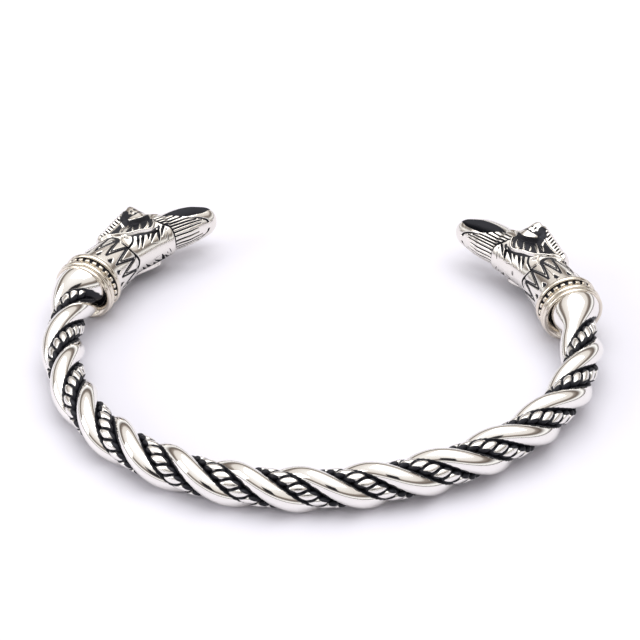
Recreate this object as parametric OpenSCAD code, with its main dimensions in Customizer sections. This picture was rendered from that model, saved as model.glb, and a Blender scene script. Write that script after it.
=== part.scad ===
// Open arm ring of twisted metal: two thick smooth strands and two beaded wires,
// held at each end by a ferrule from which a cast beast head grows.
// The hoop lies on its side: +Z up, the gap at +Y, the two heads mirrored in X.

/* [Hoop] */
// Width of the hoop over the rope at its widest
hoop_w = 72; // [60:1:84]
// Depth that the oval would have over the rope if it were closed
hoop_depth = 61.8; // [52:0.2:74]
// Angle round the oval from its front to the middle of each ferrule
ferrule_turn = 107.4; // [98:0.2:114]
// How far the left front of the bow is bent outwards by hand
lean = 1.1; // [0:0.1:2]

/* [Rope] */
// Thickness of a smooth strand
strand_d = 2.4; // [2:0.02:2.8]
// Room between the two smooth strands in the middle of the rope
core_gap = 0.6; // [0.4:0.02:0.9]
// Width of a beaded wire across its run, along the surface of the rope
wire_w = 1.7; // [1.3:0.02:1.9]
// Thickness of a beaded wire towards the rope's middle
wire_h = 1.2; // [1:0.02:1.4]
// Gap between a beaded wire and the smooth strands beside it
strand_gap = 0.1; // [0.1:0.01:0.2]
// Length of rope in which a strand goes once round
pitch = 16.85; // [14:0.05:19]
// Angle of the first smooth strand at the front, from outward towards the top
twist_front = 125; // [0:1:360]
// How far the hand-turned twist runs ahead or behind along the bow, as an angle
twist_drift = 16; // [0:1:60]
// Where along the bow the twist lags most, as an angle from the front
drift_place = 79; // [0:1:180]
// How far the twist falls behind near the ferrules, as an angle
twist_slack = 18; // [0:1:40]
// Length of rope beside each ferrule in which it does
slack_len = 15; // [5:1:30]
// Humps that a beaded wire shows in one turn of the rope
humps_per_turn = 12; // [10:1:14]
// Height of the humps on a beaded wire
hump_h = 0.26; // [0.1:0.01:0.3]
// How far a smooth strand swells where it meets the lip of the ferrule
flare_h = 0.28; // [0:0.02:0.34]
// Length over which that swell fades away along the rope
flare_len = 2.6; // [1:0.1:4]

/* [Ferrule] */
// Width of the double ring on the side of the rope
double_ring_w = 1.3; // [1:0.1:1.8]
// Width of the sunk band that holds the beads
bead_band_w = 1; // [0.8:0.1:1.4]
// Width of the plain ring on the side of the head
plain_ring_w = 0.8; // [0.6:0.1:1.2]
// Depth of the sunk band
band_sink = 0.5; // [0.3:0.05:0.7]
// Number of beads in the sunk band
bead_count = 24; // [18:1:26]
// Diameter of a bead
bead_d = 0.76; // [0.5:0.02:0.8]
// Thickness of the lip of the cup that the rope runs into
lip_wall = 0.42; // [0.3:0.02:0.6]
// Room between the lip and the swollen strand
lip_gap = 0.35; // [0.15:0.05:0.6]
// Rounding of the rings' edges
ring_round = 0.22; // [0.1:0.02:0.3]
// Room round the rope in the bore of the ferrule
bore_gap = 0.15; // [0.1:0.01:0.3]
// Thickness of the ferrule's floor under the ends of the strands
floor_h = 0.7; // [0.5:0.1:1]
// Gap of the seam between the ferrule and the head
seam = 0.1; // [0.1:0.01:0.2]

/* [Head] */
// Length from the middle of the ferrule to the tip of the beak
head_len = 22.6; // [20:0.1:25]
// Length of the neck with the zigzag band
neck_len = 6.5; // [5:0.1:7.5]
// Diameter of the neck at the ferrule
neck_d = 7.5; // [7:0.1:7.9]
// Diameter of the neck where the head begins
nape_d = 6.2; // [5.6:0.1:6.6]
// Thickness of the head through its cheeks
cheek_d = 5.7; // [5:0.1:6.2]
// Thickness of the beak from side to side in its middle
beak_d = 5.3; // [4.8:0.1:5.5]
// Length of the open mouth
mouth_len = 7; // [6:0.1:8]
// Height of the open mouth
mouth_h = 2.4; // [1.6:0.1:2.6]
// Thickness of the beak's hooked tip in front of the mouth
tip_wall = 0.5; // [0.4:0.05:0.8]
// Depth of the furrows along the jaw of the beak
furrow_h = 0.14; // [0.08:0.01:0.2]
// Distance of the brow's peak from the middle of the head
brow_reach = 4.7; // [4:0.1:5]
// Angle of the brow's peak, from the crown towards the side
brow_turn = 45; // [38:1:50]
// Diameter of the bead on the brow
brow_bead_d = 1.1; // [0.8:0.05:1.4]
// Thickness of the ear along its ridge
ear_d = 0.8; // [0.6:0.05:1]
// How far a lock of hair stands out from the cheek
lock_h = 0.55; // [0.4:0.05:0.7]
// How far the teeth of the mane stand out from the ridge of the ear
tooth_h = 0.75; // [0.5:0.05:1]
// Depth of the engraved lines
engrave = 0.28; // [0.15:0.01:0.4]
// Width of the engraved lines
line_w = 0.36; // [0.2:0.01:0.5]
// Number of points in the zigzag band
zigzags = 12; // [9:1:14]
// Number of teeth along the mane on each side
teeth = 9; // [6:1:11]
// Number of ribs in each ear
ribs = 6; // [4:1:8]
// Number of locks of hair under each ear
locks = 6; // [4:1:7]
// How far the left head is turned about its neck, its crown towards the top
left_roll = 12; // [0:1:20]

/* [Hidden] */

strand_r = strand_d / 2;
strand_lay_r = strand_r + core_gap / 2;
rope_r = strand_lay_r + strand_r;
// A strand runs aslant, which stretches its section along the surface of the rope
function lay_stretch(reach) = sqrt(1 + pow(2 * PI * reach / pitch, 2));
// A beaded wire lies as deep between the smooth strands as its size lets it
function wire_clear(lay) = min([for (a = [0 : 10 : 180])
    let (
        side = wire_w / 2 * lay_stretch(lay) * cos(a),
        reach = lay - wire_h / 2 * sin(a),
        strand_deep = strand_r + strand_gap,
        strand_wide = strand_r * lay_stretch(strand_lay_r) + strand_gap
    )
    pow((side - strand_lay_r) / strand_deep, 2) + pow(reach / strand_wide, 2)]);
wire_lay_r = min([for (lay = [wire_h / 2 : 0.01 : 3 * rope_r]) if (wire_clear(lay) >= 1) lay]);
oval_a = hoop_w / 2 - rope_r;
oval_b = hoop_depth / 2 - rope_r;
// A smooth strand moves outwards as it swells, by this share of the swell
flare_out = 1.6;
cup_r = rope_r + (1 + flare_out) * flare_h + lip_gap;
ferrule_r = cup_r + lip_wall;
ferrule_w = double_ring_w + bead_band_w + plain_ring_w;
bore_r = rope_r + bore_gap;
// Stations along the ferrule, from its middle: lip on the side of the rope, seat of the head
lip_s = -ferrule_w / 2;
seat_s = ferrule_w / 2;
strand_end_s = seat_s - floor_h - bore_gap;
nape_s = seat_s + neck_len;
face_len = head_len - nape_s;

// Centre line of the hoop, an oval by its angle from the front, bent a little by hand. The
// bend is sin times cos squared, which is 0.385 at most
function swell(t) = 1 - (cos(t) > 0 ? lean / 0.385 * sin(t) * pow(cos(t), 2) / oval_a : 0);
function oval(t) = swell(t) * [oval_a * sin(t), -oval_b * cos(t), 0];
function ahead(t) = let (d = oval(t + 0.5) - oval(t - 0.5)) d / norm(d);
function outward(t) = let (d = ahead(t)) [d.y, -d.x, 0];
function arc_table(from, to) = [
    for (t = from, s = 0; t <= to + 0.01; s = s + norm(oval(t + 1) - oval(t)), t = t + 1) [s, t]
];
// The rope's length is measured from the middle of the left ferrule
ROPE_ARC = arc_table(-ferrule_turn, ferrule_turn + 6);
HEAD_ARC = arc_table(ferrule_turn, 178);
half_rope = lookup(0, [for (row = ROPE_ARC) [row[1], row[0]]]);
rope_len = lookup(ferrule_turn, [for (row = ROPE_ARC) [row[1], row[0]]]);
function rope_angle(s) =
    s < 0 ? -ferrule_turn + s / norm(oval(-ferrule_turn + 1) - oval(-ferrule_turn))
          : lookup(s, ROPE_ARC);

// A point beside the centre line: so far out at an angle, then so far along the surface
function beside(t, turn, reach, side) =
    let (out = outward(t), up = [0, 0, 1])
    oval(t) + reach * (cos(turn) * out + sin(turn) * up) + side * (cos(turn) * up - sin(turn) * out);
// Angle of the first smooth strand round the rope
function twist(s) =
    let (
        bow = s - half_rope,
        near = max(0, 1 - min(s, rope_len - s) / slack_len),
        slack = sign(bow) * twist_slack * pow(near, 2)
    )
    twist_front - 360 * bow / pitch - twist_drift * cos(360 * bow / rope_len - drift_place) + slack;

// Faces of a tube of rings, all with the same number of corners, closed at both ends
function tube_faces(rings, sides) = [
    [for (j = [sides - 1 : -1 : 0]) j],
    for (i = [0 : rings - 2], j = [0 : sides - 1])
        let (a = i * sides + j, b = i * sides + (j + 1) % sides)
        each [[a, b + sides, a + sides], [a, b, b + sides]],
    [for (j = [0 : sides - 1]) (rings - 1) * sides + j],
];
module tube(rings) {
    sides = len(rings[0]);
    polyhedron(points = [for (ring = rings) each ring], faces = tube_faces(len(rings), sides));
}

// The hoop rests on its two ferrules and on the front of the rope
ferrule_foot_y = oval(ferrule_turn).y - (ferrule_w / 2 - ring_round) * ahead(ferrule_turn).y;
rest_tilt = atan((ferrule_r - rope_r) / (ferrule_foot_y + oval_b));
module rest() {
    translate([0, -(front_y + back_y) / 2, rope_r + oval_b * sin(rest_tilt)])
        rotate([rest_tilt, 0, 0])
            children();
}

// Swell of a smooth strand at a distance outside the lip of the ferrule, fading fast inside it
// so that the strand clears the bore
flare_in = 0.5 * double_ring_w;
function near_lip(d) = exp(-pow(d / (d < 0 ? flare_in : flare_len), 2));
strand_sides = 10;
strand_steps = round(12 * rope_len / pitch);
module smooth_strand(turn_off, flare_at_start) {
    from = -strand_end_s;
    to = rope_len + strand_end_s;
    color("silver")
        tube([
            for (i = [0 : strand_steps])
                let (
                    s = from + (to - from) * i / strand_steps,
                    d = flare_at_start ? s + lip_s : rope_len - s + lip_s,
                    f = flare_h * near_lip(d),
                    r = strand_r + f,
                    lay = strand_lay_r + flare_out * f,
                    turn = twist(s) + turn_off
                )
                [for (j = [0 : strand_sides - 1])
                    let (a = 360 * j / strand_sides)
                    beside(rope_angle(s), turn, lay + r * cos(a), lay_stretch(lay) * r * sin(a))]
        ]);
}

// A beaded wire is two thin wires turned the other way: a section with two lobes that turns
// by 60 degrees from ring to ring, three rings to a hump
wire_sides = 6;
wire_steps = round(3 * humps_per_turn * rope_len / pitch);
module beaded_wire(turn_off) {
    from = -strand_end_s;
    to = rope_len + strand_end_s;
    color("dimgray")
        tube([
            for (i = [0 : wire_steps])
                let (s = from + (to - from) * i / wire_steps)
                [for (j = [0 : wire_sides - 1])
                    let (a = 360 * j / wire_sides, lobe = hump_h / 2 * (cos(2 * a + 120 * i) - 1))
                    beside(rope_angle(s), twist(s) + turn_off,
                        wire_lay_r + (wire_h / 2 + lobe) * cos(a),
                        (wire_w / 2 + lobe) * lay_stretch(wire_lay_r) * sin(a))]
        ]);
}

// Ferrule, turned about the tangent of the hoop, its axis along Z here
bead_reach = ferrule_r - 0.9 * band_sink;
band_mid_s = lip_s + double_ring_w + bead_band_w / 2;
module ferrule_shape() {
    color("silver")
        difference() {
            union() {
                rotate_extrude($fn = 96)
                    polygon([
                        [0, lip_s],
                        [ferrule_r - ring_round, lip_s],
                        [ferrule_r, lip_s + ring_round],
                        [ferrule_r, lip_s + double_ring_w / 2 - ring_round],
                        [ferrule_r - ring_round, lip_s + double_ring_w / 2],
                        [ferrule_r, lip_s + double_ring_w / 2 + ring_round],
                        [ferrule_r, lip_s + double_ring_w - ring_round],
                        [ferrule_r - ring_round, lip_s + double_ring_w],
                        [ferrule_r - band_sink, lip_s + double_ring_w],
                        [ferrule_r - band_sink, lip_s + double_ring_w + bead_band_w],
                        [ferrule_r - ring_round, lip_s + double_ring_w + bead_band_w],
                        [ferrule_r, seat_s - plain_ring_w + ring_round],
                        [ferrule_r, seat_s - ring_round],
                        [ferrule_r - ring_round, seat_s],
                        [0, seat_s],
                    ]);
                for (i = [0 : bead_count - 1])
                    rotate([0, 0, 360 * i / bead_count])
                        translate([bead_reach, 0, band_mid_s])
                            sphere(d = bead_d, $fn = 24);
            }
            translate([0, 0, lip_s - floor_h])
                cylinder(h = ferrule_w, r = bore_r, $fn = 96);
            translate([0, 0, lip_s - 0.01])
                cylinder(h = double_ring_w, r1 = cup_r, r2 = bore_r, $fn = 96);
        }
}
module ferrule() {
    d = ahead(ferrule_turn);
    translate(oval(ferrule_turn))
        rotate([0, 0, atan2(d.y, d.x)])
            rotate([0, 90, 0])
                ferrule_shape();
}

// Head, in stations along the hoop beyond the middle of the ferrule. The crown looks outward,
// the jaw inward, and the two sides up and down are alike. A head may be rolled about its neck.
$roll = 0;
function head_angle(s) = lookup(s, HEAD_ARC);
function head_point(s, turn, reach, side = 0) = beside(head_angle(s), turn + $roll, reach, side);
// Columns: station as a share of the face, then the reach of crown, side and jaw as shares
// of the cheek's radius
FACE = [
    [0.00, 1.06, 1.06, 1.06],
    [0.02, 0.98, 1.02, 1.04],
    [0.30, 1.08, 1.06, 1.02],
    [0.41, 1.18, 1.02, 0.98],
    [0.49, 1.21, 0.95, 0.88],
];
// Columns as above, as shares of half the beak's thickness. The crown arches high over the mouth
BEAK = [
    [0.51, 1.31, 1.00, 0.85],
    [0.65, 1.31, 0.99, 0.85],
    [0.72, 1.26, 0.97, 0.77],
    [0.79, 1.15, 0.92, 0.69],
    [0.86, 0.98, 0.82, 0.58],
    [0.93, 0.77, 0.71, 0.46],
    [1.00, 0.38, 0.42, 0.22],
];
function neck_r(s) = neck_d / 2 + (nape_d - neck_d) / 2 * (s - seat_s) / (nape_s - seat_s);
neck_parts = 3;
SECTIONS = concat(
    [for (k = [1 : neck_parts])
        let (s = seat_s + k / neck_parts * 0.95 * neck_len)
        [s, neck_r(s), neck_r(s), neck_r(s)]],
    [for (row = FACE) [nape_s + row[0] * face_len, for (k = [1 : 3]) row[k] * cheek_d / 2]],
    [for (row = BEAK) [nape_s + row[0] * face_len, for (k = [1 : 3]) row[k] * beak_d / 2]]
);
// Front and back of the whole thing as it rests, which the origin lies between
front_y = -(oval_b + rope_r) * cos(rest_tilt);
back_y = max([for (row = SECTIONS) head_point(row[0], 0, row[1]).y * cos(rest_tilt)]);
head_sides = 24;
// Reach of a section at an angle from the crown, with furrows along the jaw of the beak
function section_reach(row, turn, j) =
    let (
        end = cos(turn) > 0 ? row[1] : row[3],
        plain = 1 / sqrt(pow(cos(turn) / end, 2) + pow(sin(turn) / row[2], 2)),
        furrow = row[0] > nape_s + 0.5 * face_len && cos(turn) < -0.2 && j % 2 == 1 ? furrow_h : 0
    )
    plain - furrow;
function head_ring(row) = [
    for (j = [0 : head_sides - 1])
        let (turn = 360 * j / head_sides)
        head_point(row[0], turn, section_reach(row, turn, j))
];
// The foot of the head is flat and square to the ferrule, a seam away from it
foot_ring = [
    for (j = [0 : head_sides - 1])
        beside(ferrule_turn, 360 * j / head_sides, neck_d / 2, 0) + (seat_s + seam) * ahead(ferrule_turn)
];
module head_core() {
    tube([foot_ring, for (row = SECTIONS) head_ring(row)]);
}
mouth_s = head_len - tip_wall - mouth_len / 2;
module mouth() {
    tube([for (side = [-beak_d, beak_d])
        [for (a = [0 : 20 : 340])
            head_point(mouth_s + mouth_len / 2 * cos(a), 0, mouth_h / 2 * sin(a), side)]]);
}

// A solid with four corners
module sliver(corners) {
    hull()
        polyhedron(points = corners, faces = [[0, 1, 2], [0, 3, 1], [1, 3, 2], [2, 3, 0]]);
}

// Zigzag line round the neck, three corners to a station, cut into its surface
zig_low = seat_s + 0.24 * neck_len;
zig_high = nape_s - 0.2 * neck_len;
zig_step = 360 / (2 * zigzags);
zig_w = line_w * sqrt(1 + pow((zig_high - zig_low) / (neck_r(zig_low) * PI * zig_step / 180), 2));
module zigzag() {
    count = 2 * zigzags;
    points = [for (i = [0 : count - 1])
        let (s = i % 2 == 0 ? zig_low : zig_high, turn = zig_step * i)
        each [
            head_point(s - zig_w / 2, turn, neck_r(s) + 0.7 * engrave),
            head_point(s + zig_w / 2, turn, neck_r(s) + 0.7 * engrave),
            head_point(s, turn, neck_r(s) - engrave),
        ]];
    faces = [for (i = [0 : count - 1], k = [0 : 2])
        let (a = 3 * i + k, b = 3 * i + (k + 1) % 3, n = 3 * count)
        each [[a, (b + 3) % n, b], [a, (a + 3) % n, (b + 3) % n]]];
    polyhedron(points = points, faces = faces);
}
// Small three-cornered pits between the feet of the zigzag
module pits() {
    for (i = [0 : zigzags - 1])
        let (
            turn = 2 * zig_step * (i + 0.5),
            s = zig_low - 0.1 * neck_len,
            r = neck_r(zig_low) + 0.5 * engrave
        )
        sliver([
            head_point(s, turn - 5, r),
            head_point(s, turn + 5, r),
            head_point(s + 0.2 * neck_len, turn, r),
            head_point(s + 0.05 * neck_len, turn, r - 2 * engrave),
        ]);
}

// Landmarks of one side: the ear runs back from the cheek over the neck, the brow is its peak
ear_front_s = nape_s + 0.46 * face_len;
ear_back_s = nape_s - 0.1 * face_len;
brow_s = nape_s + 0.33 * face_len;
ear_low_s = nape_s + 0.18 * face_len;
cheek_r = cheek_d / 2;
function between(a, b, f) = a + (b - a) * f;
// Ridge of the ear from its back tip to the brow, and its lower rim from the same tip to the
// front. Columns: station, angle from the crown, reach
RIDGE = [
    [ear_back_s, brow_turn + 6, neck_r(ear_back_s) + 0.3 * ear_d],
    [brow_s, brow_turn, brow_reach - 0.4 * ear_d],
];
RIM = [
    RIDGE[0],
    [ear_low_s, brow_turn + 42, cheek_r + 0.45 * ear_d],
    [ear_front_s, brow_turn + 16, cheek_r + 0.15 * ear_d],
];
function along(path, s) =
    let (
        k = s < path[1][0] || len(path) == 2 ? 0 : 1,
        a = path[k],
        b = path[k + 1],
        f = (s - a[0]) / (b[0] - a[0])
    )
    between(head_point(a[0], a[1], a[2]), head_point(b[0], b[1], b[2]), f);
module ear_node(row, share) {
    translate(head_point(row[0], row[1], row[2]))
        sphere(d = share * ear_d, $fn = 6);
}
module ear() {
    hull() {
        ear_node(RIDGE[0], 0.6);
        ear_node(RIDGE[1], 1);
        ear_node(RIM[1], 0.6);
        ear_node(RIM[2], 0.9);
        ear_node([brow_s, brow_turn, cheek_r - 0.75 * ear_d], 1);
    }
}
module brow_bead() {
    translate(head_point(brow_s, brow_turn, brow_reach))
        sphere(d = brow_bead_d, $fn = 8);
}
// Grooves between the ribs of the ear, across it from near the ridge to near the rim
module ear_grooves() {
    for (i = [0 : ribs - 1])
        let (
            s = between(ear_back_s, brow_s, 0.2 + 0.9 * (i + 0.5) / ribs),
            half = 0.3 * (brow_s - ear_back_s) / ribs * ahead(head_angle(s)),
            top = between(along(RIDGE, s), along(RIM, s), 0.3),
            low = between(along(RIDGE, s), along(RIM, s), 0.85),
            out = head_point(s, brow_turn + 22, 0.65 * ear_d) - head_point(s, 0, 0)
        )
        sliver([top - half + out, top + half + out, low + out, between(top, low, 0.5) - out]);
}
module mane() {
    for (i = [0 : teeth - 1])
        let (
            s = between(ear_back_s, brow_s, 0.95 * (i + 0.5) / teeth),
            half = 0.36 * (brow_s - ear_back_s) / teeth * ahead(head_angle(s)),
            root = along(RIDGE, s),
            out = head_point(s, brow_turn, tooth_h) - head_point(s, 0, 0),
            over = head_point(s, brow_turn - 90, tooth_h) - head_point(s, 0, 0)
        )
        sliver([
            root - half - 0.25 * out,
            root + half - 0.25 * out,
            root + 0.15 * out,
            root + over + 0.4 * out,
        ]);
}
// Locks of hair that hang from under the ear over the cheek
module cheek_locks() {
    for (i = [0 : locks - 1])
        let (
            s = between(nape_s + 0.06 * face_len, ear_front_s, (i + 0.5) / locks),
            half = 0.4 * (ear_front_s - nape_s) / locks,
            top = brow_turn + 38,
            tip = brow_turn + 70 + 8 * (i % 2)
        )
        sliver([
            head_point(s - half, top, cheek_r - 0.4 * lock_h),
            head_point(s + half, top, cheek_r - 0.4 * lock_h),
            head_point(s, top + 7, cheek_r + lock_h),
            head_point(s - 0.3 * half, tip, cheek_r - 0.2 * lock_h),
        ]);
}
module one_side() {
    difference() {
        ear();
        ear_grooves();
    }
    brow_bead();
    mane();
    cheek_locks();
}
module head() {
    color("gainsboro")
        difference() {
            union() {
                head_core();
                one_side();
                mirror([0, 0, 1])
                    one_side($roll = -$roll);
            }
            mouth();
            zigzag();
            pits();
        }
}

module smooth_strand_one() {
    rest()
        smooth_strand(0, false);
}
module smooth_strand_two() {
    rest()
        smooth_strand(180, true);
}
module beaded_wire_one() {
    rest()
        beaded_wire(90);
}
module beaded_wire_two() {
    rest()
        beaded_wire(-90);
}
module right_ferrule() {
    rest()
        ferrule();
}
module left_ferrule() {
    rest()
        mirror([1, 0, 0])
            ferrule();
}
module right_head() {
    rest()
        head($roll = 0);
}
module left_head() {
    rest()
        mirror([1, 0, 0])
            head($roll = left_roll);
}

smooth_strand_one();
smooth_strand_two();
beaded_wire_one();
beaded_wire_two();
left_ferrule();
right_ferrule();
left_head();
right_head();
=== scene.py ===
import math

import bpy
import numpy as np
from mathutils import Matrix, Vector


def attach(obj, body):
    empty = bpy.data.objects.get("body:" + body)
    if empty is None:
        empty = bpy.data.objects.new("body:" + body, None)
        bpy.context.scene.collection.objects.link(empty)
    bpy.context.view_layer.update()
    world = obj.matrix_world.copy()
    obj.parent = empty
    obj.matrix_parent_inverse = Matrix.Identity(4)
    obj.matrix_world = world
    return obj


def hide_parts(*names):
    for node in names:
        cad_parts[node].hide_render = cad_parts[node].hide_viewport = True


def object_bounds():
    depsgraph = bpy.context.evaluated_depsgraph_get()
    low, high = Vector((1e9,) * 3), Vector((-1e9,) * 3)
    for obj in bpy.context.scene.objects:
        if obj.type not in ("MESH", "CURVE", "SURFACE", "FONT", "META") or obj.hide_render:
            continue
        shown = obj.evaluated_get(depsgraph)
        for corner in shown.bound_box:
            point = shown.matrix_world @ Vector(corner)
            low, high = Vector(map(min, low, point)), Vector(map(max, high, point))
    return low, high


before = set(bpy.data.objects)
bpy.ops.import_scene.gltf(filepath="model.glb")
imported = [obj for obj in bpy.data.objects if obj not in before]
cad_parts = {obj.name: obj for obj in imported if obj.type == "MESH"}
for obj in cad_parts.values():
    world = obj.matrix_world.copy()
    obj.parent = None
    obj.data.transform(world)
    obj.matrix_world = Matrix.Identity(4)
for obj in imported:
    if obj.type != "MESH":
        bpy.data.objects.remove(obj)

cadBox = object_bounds()
mm = 0.001

# The hoop as it is bent: an oval, measured by its angle from the front
hoop = {
    "width": 72.0,
    "depth": 61.8,
    "ferruleTurn": 107.4,  # angle to the middle of each ferrule
    "headTurn": 176,  # angle to which the line runs on under the heads
    "lean": 1.1,  # the left front stands out a little
    "ropeRadius": 2.7,
}
# The rope: how its strands go round
rope = {
    "pitch": 16.85,
    "front": 125,  # place of the first strand at the front, from outward to the top
    "drift": 16,  # the twist runs ahead and behind by this angle
    "driftPlace": 79,
    "slack": 18,  # and is slacker near the ferrules
    "slackLength": 15,
    "endInFerrule": 0.7,
    "lead": 3,  # the line it is bent on starts this many degrees before the ferrule's middle
}
ferruleRadius = 4.2
ferruleWidth = 3.1
ferruleRest = 0.22  # how far in from its end a ferrule touches the ground


def ovalPoint(turn):
    a = hoop["width"] / 2 - hoop["ropeRadius"]
    b = hoop["depth"] / 2 - hoop["ropeRadius"]
    t = math.radians(turn)
    swell = 1.0
    if math.cos(t) > 0:
        swell -= hoop["lean"] / 0.385 * math.sin(t) * math.cos(t) ** 2 / a  # sin cos cos is 0.385 at most
    return Vector((a * math.sin(t) * swell, -b * math.cos(t) * swell, 0))


def aheadAt(turn):
    return (ovalPoint(turn + 0.5) - ovalPoint(turn - 0.5)).normalized()


def arcLength(fromTurn, toTurn):
    steps = max(1, round(abs(toTurn - fromTurn)))
    turns = [fromTurn + (toTurn - fromTurn) * i / steps for i in range(steps + 1)]
    return sum((ovalPoint(b) - ovalPoint(a)).length for a, b in zip(turns, turns[1:]))


ropeLength = arcLength(-hoop["ferruleTurn"], hoop["ferruleTurn"])
halfRope = arcLength(-hoop["ferruleTurn"], 0)


def ropeTwist(s):
    bow = s - halfRope
    drift = rope["drift"] * math.cos(math.radians(360 * bow / ropeLength - rope["driftPlace"]))
    nearFerrule = max(0, 1 - min(s, ropeLength - s) / rope["slackLength"]) ** 2
    slack = nearFerrule * math.copysign(rope["slack"], bow)
    return math.radians(rope["front"] - 360 * bow / rope["pitch"] - drift + slack)


# It lies on the front of the rope and on its two ferrules
ferruleAhead = aheadAt(hoop["ferruleTurn"])
ferruleFoot = ovalPoint(hoop["ferruleTurn"]).y - (ferruleWidth / 2 - ferruleRest) * ferruleAhead.y
frontY = ovalPoint(0).y
restTilt = math.atan((ferruleRadius - hoop["ropeRadius"]) / (ferruleFoot - frontY))
restLift = hoop["ropeRadius"] - frontY * math.sin(restTilt)
restShift = cadBox[0].y / mm - (frontY - hoop["ropeRadius"]) * math.cos(restTilt)


def selectOnly(*pieces):
    if bpy.context.object and bpy.context.object.mode != "OBJECT":
        bpy.ops.object.mode_set(mode="OBJECT")
    bpy.ops.object.select_all(action="DESELECT")
    for piece in pieces:
        piece.select_set(True)
    bpy.context.view_layer.objects.active = pieces[0]


def applyModifier(piece, kind, **settings):
    selectOnly(piece)
    modifier = piece.modifiers.new(kind.title(), kind)
    for name, value in settings.items():
        setattr(modifier, name, value)
    bpy.ops.object.modifier_apply(modifier=modifier.name)


def readPoints(piece):
    co = np.empty(len(piece.data.vertices) * 3, np.float32)
    piece.data.vertices.foreach_get("co", co)
    return co.reshape(-1, 3)


def writePoints(piece, points):
    piece.data.vertices.foreach_set("co", points.astype(np.float32).ravel())
    piece.data.update()


def weld(piece, gap):
    # Points closer than the gap become one, and every face looks outward
    selectOnly(piece)
    bpy.ops.object.mode_set(mode="EDIT")
    bpy.ops.mesh.select_all(action="SELECT")
    bpy.ops.mesh.remove_doubles(threshold=gap)
    bpy.ops.mesh.normals_make_consistent(inside=False)
    bpy.ops.object.mode_set(mode="OBJECT")


def addLine(name, points, closed=False):
    data = bpy.data.curves.new(name, "CURVE")
    data.dimensions = "3D"
    spline = data.splines.new("POLY")
    spline.points.add(len(points) - 1)
    for knot, point in zip(spline.points, points):
        knot.co = (*point, 1)
    spline.use_cyclic_u = closed
    line = bpy.data.objects.new(name, data)
    bpy.context.scene.collection.objects.link(line)
    return line


def toMesh(line):
    selectOnly(line)
    bpy.ops.object.convert(target="MESH")
    return bpy.context.object


def tubeAlong(name, points, radius, roundness):
    line = addLine(name, points)
    line.data.bevel_depth = radius
    line.data.bevel_resolution = roundness
    line.data.use_fill_caps = True
    piece = toMesh(line)
    weld(piece, gap=0.0001)
    return piece


def hoopLine(fromTurn, toTurn):
    steps = round((toTurn - fromTurn) * 2)
    turns = [fromTurn + (toTurn - fromTurn) * i / steps for i in range(steps + 1)]
    line = addLine("hoopLine", [ovalPoint(turn) for turn in turns])
    line.data.dimensions = "2D"
    return line


def bendOnHoop(piece, fromTurn, toTurn):
    line = hoopLine(fromTurn, toTurn)
    applyModifier(piece, "CURVE", object=line, deform_axis="POS_X")
    bpy.data.objects.remove(line)


def layAtRest(piece):
    turn = Matrix.Rotation(restTilt, 4, "X")
    piece.data.transform(Matrix.Scale(mm, 4) @ Matrix.Translation((0, restShift, restLift)) @ turn)
    piece.data.update()


def copyPiece(piece, name):
    other = piece.copy()
    other.data = piece.data.copy()
    other.name = name
    bpy.context.scene.collection.objects.link(other)
    return other


def mirrorLeft(piece):
    piece.data.transform(Matrix.Scale(-1, 4, (1, 0, 0)))
    piece.data.flip_normals()


def srgb(text):
    channels = [int(text[i:i + 2], 16) / 255 for i in (1, 3, 5)]
    return tuple(c / 12.92 if c <= 0.04045 else ((c + 0.055) / 1.055) ** 2.4 for c in channels) + (1,)


def addNode(tree, kind, settings=None, **links):
    node = tree.nodes.new(kind)
    for name, value in (settings or {}).items():
        setattr(node, name, value)
    for name, value in links.items():
        socket = node.inputs[int(name[2:]) if name.startswith("in") else name.replace("_", " ")]
        if isinstance(value, bpy.types.NodeSocket):
            tree.links.new(value, socket)
        else:
            socket.default_value = value
    return node


# The black left by liver of sulphur in the hollows, also used as painted shade and painted shadow on the
# heads, with a ragged edge where it was rubbed away
oxideAndShade = {
    "colour": "#1b1c24",
    "roughness": 0.5,
    "metallic": 0.4,
    "edge": (0.35, 0.65),
    "ragged": 0.3,
    "raggedScale": 900.0,
}


def blackenedAndShadedSilver(name, polish="#f3f0ec", shine=0.1):
    # Sterling silver, polished by hand after the whole was blackened: bright where a cloth reaches,
    # blue-black in the depths and where shade is painted on the heads
    material = bpy.data.materials.new(name)
    material.use_nodes = True
    tree = material.node_tree
    tree.nodes.clear()
    place = addNode(tree, "ShaderNodeTexCoord").outputs["Object"]
    # The attribute holds the oxide's blackness and also the painted shade and painted shadow on the heads
    depth = addNode(tree, "ShaderNodeAttribute", {"attribute_name": "oxideAndShade"}).outputs["Fac"]
    cloud = addNode(tree, "ShaderNodeTexNoise", Vector=place, Scale=oxideAndShade["raggedScale"], Detail=3.0)
    ragged = addNode(tree, "ShaderNodeMath", {"operation": "MULTIPLY_ADD"}, in0=cloud.outputs["Fac"],
                     in1=oxideAndShade["ragged"], in2=-oxideAndShade["ragged"] / 2)
    mask = addNode(tree, "ShaderNodeMath", {"operation": "ADD"}, in0=depth, in1=ragged.outputs[0])
    edge = addNode(tree, "ShaderNodeMapRange", {"interpolation_type": "SMOOTHSTEP"}, Value=mask.outputs[0],
                   From_Min=oxideAndShade["edge"][0], From_Max=oxideAndShade["edge"][1])
    tint = addNode(tree, "ShaderNodeMix", {"data_type": "RGBA"}, Factor=edge.outputs[0])
    tint.inputs[6].default_value = srgb(polish)
    tint.inputs[7].default_value = srgb(oxideAndShade["colour"])
    rough = addNode(tree, "ShaderNodeMapRange", Value=edge.outputs[0], To_Min=shine,
                    To_Max=oxideAndShade["roughness"])
    metal = addNode(tree, "ShaderNodeMapRange", Value=edge.outputs[0], To_Min=1.0,
                    To_Max=oxideAndShade["metallic"])
    shader = addNode(tree, "ShaderNodeBsdfPrincipled", Base_Color=tint.outputs[2],
                     Roughness=rough.outputs[0], Metallic=metal.outputs[0])
    addNode(tree, "ShaderNodeOutputMaterial", Surface=shader.outputs[0])
    return material


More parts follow.
